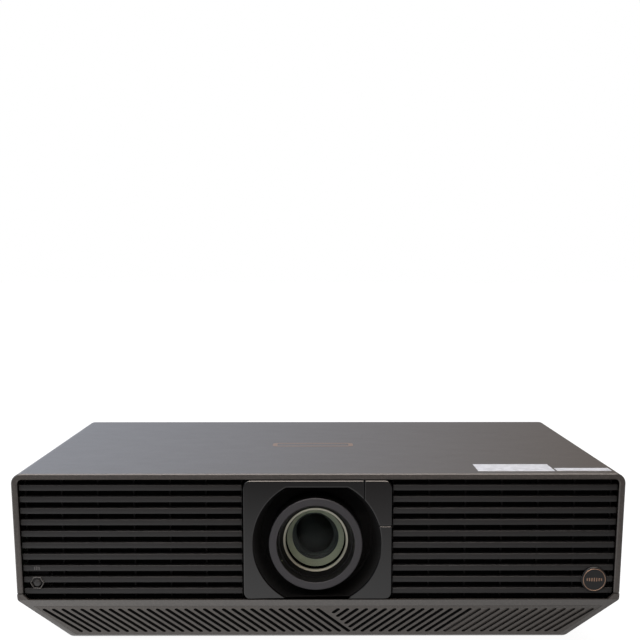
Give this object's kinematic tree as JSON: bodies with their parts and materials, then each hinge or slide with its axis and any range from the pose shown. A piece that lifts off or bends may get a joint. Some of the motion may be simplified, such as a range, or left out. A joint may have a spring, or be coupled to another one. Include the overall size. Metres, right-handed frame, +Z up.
{
  "type": "home projector",
  "caption": "Wide, low home projector with a louvred front, slotted chamfers and a motorised zoom lens that shifts.",
  "frame": {"origin": "on the floor under the middle of the body", "axes": "+X to the right seen from the front, the lens looks along -Y, +Z up"},
  "size_m": [0.4096, 0.31, 0.1321],
  "materials": {
    "painted_body": "satin metallic paint on moulded plastic",
    "louvre_plastic": "fine moulded texture",
    "gloss_bezel": "polished black",
    "well_black": "matte black inside",
    "badge_disc": "dark disc with a thin copper ring",
    "sticker_paper": "white film sticker",
    "copper_trim": "brushed copper tone",
    "socket_steel": "nickel-plated shell",
    "socket_plastic": "moulded",
    "circuit_board": "solder mask",
    "cast_alloy": "cast and machined",
    "heatsink_alloy": "extruded fins",
    "laser_copper": "copper block",
    "motor_steel": "zinc-plated can",
    "wheel_coating": "yellow phosphor on aluminium",
    "optical_glass": "coated glass",
    "screw_steel": "plated steel",
    "barrel_metal": "dark anodised",
    "cell_metal": "dark anodised",
    "gear_plastic": "moulded gear",
    "gear_brass": "cut brass",
    "fan_plastic": "moulded",
    "speaker_plastic": "moulded",
    "speaker_cone": "pressed paper cone",
    "switch_plastic": "moulded",
    "insert_brass": "knurled insert",
    "foot_rubber": "moulded rubber"
  },
  "bodies": {
    "chassis": {"top_cover": "painted_body", "base_tray": "painted_body", "front_grille": "painted_body", "side_grilles": "painted_body", "louvre_left": "louvre_plastic", "louvre_right": "louvre_plastic", "lens_bezel": "gloss_bezel", "sensor_window": "gloss_bezel", "lens_well": "well_black", "badge": "badge_disc", "top_stickers": "sticker_paper", "top_emblem": "copper_trim", "rear_panel": "louvre_plastic", "hdmi_sockets": "socket_steel", "usb_network_socket": "socket_steel", "audio_sockets": "socket_plastic", "mains_inlet": "socket_plastic", "main_board": "circuit_board", "power_board": "circuit_board", "optical_bench": "cast_alloy", "laser_bank": "laser_copper", "laser_heatsink": "heatsink_alloy", "wheel_motor": "motor_steel", "light_tunnel": "cast_alloy", "prism_block": "optical_glass", "imager_board": "circuit_board", "imager_heatsink": "heatsink_alloy", "shift_frame": "cast_alloy", "vertical_motor": "motor_steel", "fan_frames": "fan_plastic", "speaker_boxes": "speaker_plastic", "speaker_drivers": "speaker_cone", "joystick_base": "switch_plastic", "ceiling_inserts": "insert_brass", "case_screws": "screw_steel", "rear_feet": "foot_rubber"},
    "phosphor_wheel": {"phosphor_wheel": "wheel_coating"},
    "fan_rotor_left": {"fan_rotor_left": "fan_plastic"},
    "fan_rotor_right": {"fan_rotor_right": "fan_plastic"},
    "fan_rotor_laser": {"fan_rotor_laser": "fan_plastic"},
    "vertical_carriage": {"vertical_plate": "cast_alloy", "horizontal_motor": "motor_steel"},
    "vertical_screw": {"vertical_screw": "screw_steel"},
    "horizontal_screw": {"horizontal_screw": "screw_steel"},
    "lens": {"lens_barrel": "barrel_metal", "lens_motors": "motor_steel"},
    "focus_ring": {"focus_ring": "gear_plastic"},
    "focus_pinion": {"focus_pinion": "gear_brass"},
    "front_group": {"front_cell": "cell_metal", "front_glass": "optical_glass"},
    "zoom_ring": {"zoom_ring": "gear_plastic"},
    "zoom_pinion": {"zoom_pinion": "gear_brass"},
    "zoom_group": {"zoom_group": "cell_metal"},
    "joystick_rocker": {"joystick_rocker": "switch_plastic"},
    "joystick_stem": {"joystick_stem": "screw_steel"},
    "joystick_cap": {"joystick_cap": "louvre_plastic"},
    "foot_pad_left": {"foot_pad_left": "foot_rubber"},
    "foot_stem_left": {"foot_stem_left": "screw_steel"},
    "foot_pad_right": {"foot_pad_right": "foot_rubber"},
    "foot_stem_right": {"foot_stem_right": "screw_steel"}
  },
  "joints": [
    {"name": "lens_lift", "type": "slide", "parent": "chassis", "child": "vertical_carriage", "axis": [0, 0, 1], "range_m": [-0.0035, 0.0035]},
    {"name": "vertical_screw_turn", "type": "hinge", "parent": "chassis", "child": "vertical_screw", "pos_m": [0.073, -0.045, 0.084], "axis": [0, 0, 1], "range_deg": [-1262, 1262]},
    {"name": "lens_shift", "type": "slide", "parent": "vertical_carriage", "child": "lens", "axis": [1, 0, 0], "range_m": [-0.0016, 0.0034]},
    {"name": "horizontal_screw_turn", "type": "hinge", "parent": "vertical_carriage", "child": "horizontal_screw", "pos_m": [0.038, -0.056, 0.062], "axis": [1, 0, 0], "range_deg": [-580, 1226]},
    {"name": "focus_slide", "type": "slide", "parent": "lens", "child": "front_group", "axis": [0, -1, 0], "range_m": [-0.0015, 0.0015]},
    {"name": "focus_ring_turn", "type": "hinge", "parent": "lens", "child": "focus_ring", "pos_m": [-0.002, -0.1105, 0.084], "axis": [0, 1, 0], "range_deg": [-60, 60]},
    {"name": "focus_pinion_turn", "type": "hinge", "parent": "lens", "child": "focus_pinion", "pos_m": [0.03862, -0.1105, 0.084], "axis": [0, 1, 0], "range_deg": [-241, 241]},
    {"name": "zoom_slide", "type": "slide", "parent": "lens", "child": "zoom_group", "axis": [0, -1, 0], "range_m": [-0.006, 0.006]},
    {"name": "zoom_ring_turn", "type": "hinge", "parent": "lens", "child": "zoom_ring", "pos_m": [-0.002, -0.092, 0.084], "axis": [0, 1, 0], "range_deg": [-50, 50]},
    {"name": "zoom_pinion_turn", "type": "hinge", "parent": "lens", "child": "zoom_pinion", "pos_m": [-0.04263, -0.092, 0.084], "axis": [0, 1, 0], "range_deg": [-201, 201]},
    {"name": "wheel_spin", "type": "hinge", "parent": "chassis", "child": "phosphor_wheel", "pos_m": [0.08, 0.014, 0.084], "axis": [1, 0, 0], "continuous": true},
    {"name": "fan_left_spin", "type": "hinge", "parent": "chassis", "child": "fan_rotor_left", "pos_m": [-0.15, -0.1175, 0.084], "axis": [0, 1, 0], "continuous": true},
    {"name": "fan_right_spin", "type": "hinge", "parent": "chassis", "child": "fan_rotor_right", "pos_m": [0.15, -0.1175, 0.084], "axis": [0, 1, 0], "continuous": true},
    {"name": "fan_laser_spin", "type": "hinge", "parent": "chassis", "child": "fan_rotor_laser", "pos_m": [0.158, 0.0495, 0.08], "axis": [0, 1, 0], "continuous": true},
    {"name": "joystick_up_down", "type": "hinge", "parent": "chassis", "child": "joystick_rocker", "pos_m": [-0.1897, -0.146, 0.0576], "axis": [1, 0, 0], "range_deg": [-3, 3], "stiffness_Nm_per_rad": 0.2},
    {"name": "joystick_left_right", "type": "hinge", "parent": "joystick_rocker", "child": "joystick_stem", "pos_m": [-0.1897, -0.146, 0.0576], "axis": [0, 0, 1], "range_deg": [-3, 3], "stiffness_Nm_per_rad": 0.2},
    {"name": "joystick_press", "type": "slide", "parent": "joystick_stem", "child": "joystick_cap", "axis": [0, 1, 0], "range_m": [0, 0.0008], "stiffness_N_per_m": 2000},
    {"name": "foot_left_extend", "type": "slide", "parent": "chassis", "child": "foot_pad_left", "axis": [0, 0, -1], "range_m": [0, 0.012]},
    {"name": "foot_left_turn", "type": "hinge", "parent": "foot_pad_left", "child": "foot_stem_left", "pos_m": [-0.14, -0.067, 0.01], "axis": [0, 0, -1], "range_deg": [0, 4320]},
    {"name": "foot_right_extend", "type": "slide", "parent": "chassis", "child": "foot_pad_right", "axis": [0, 0, -1], "range_m": [0, 0.012]},
    {"name": "foot_right_turn", "type": "hinge", "parent": "foot_pad_right", "child": "foot_stem_right", "pos_m": [0.14, -0.067, 0.01], "axis": [0, 0, -1], "range_deg": [0, 4320]}
  ],
  "couplings": [
    {"joint": "vertical_screw_turn", "follows": "lens_lift", "rad_per_m": 6283.2},
    {"joint": "horizontal_screw_turn", "follows": "lens_shift", "rad_per_m": 6283.2},
    {"joint": "focus_ring_turn", "follows": "focus_slide", "rad_per_m": 698},
    {"joint": "focus_pinion_turn", "follows": "focus_slide", "rad_per_m": -2792},
    {"joint": "zoom_ring_turn", "follows": "zoom_slide", "rad_per_m": 145.4},
    {"joint": "zoom_pinion_turn", "follows": "zoom_slide", "rad_per_m": -581.6},
    {"joint": "foot_left_turn", "follows": "foot_left_extend", "rad_per_m": 6283.2},
    {"joint": "foot_right_turn", "follows": "foot_right_extend", "rad_per_m": 6283.2}
  ]
}
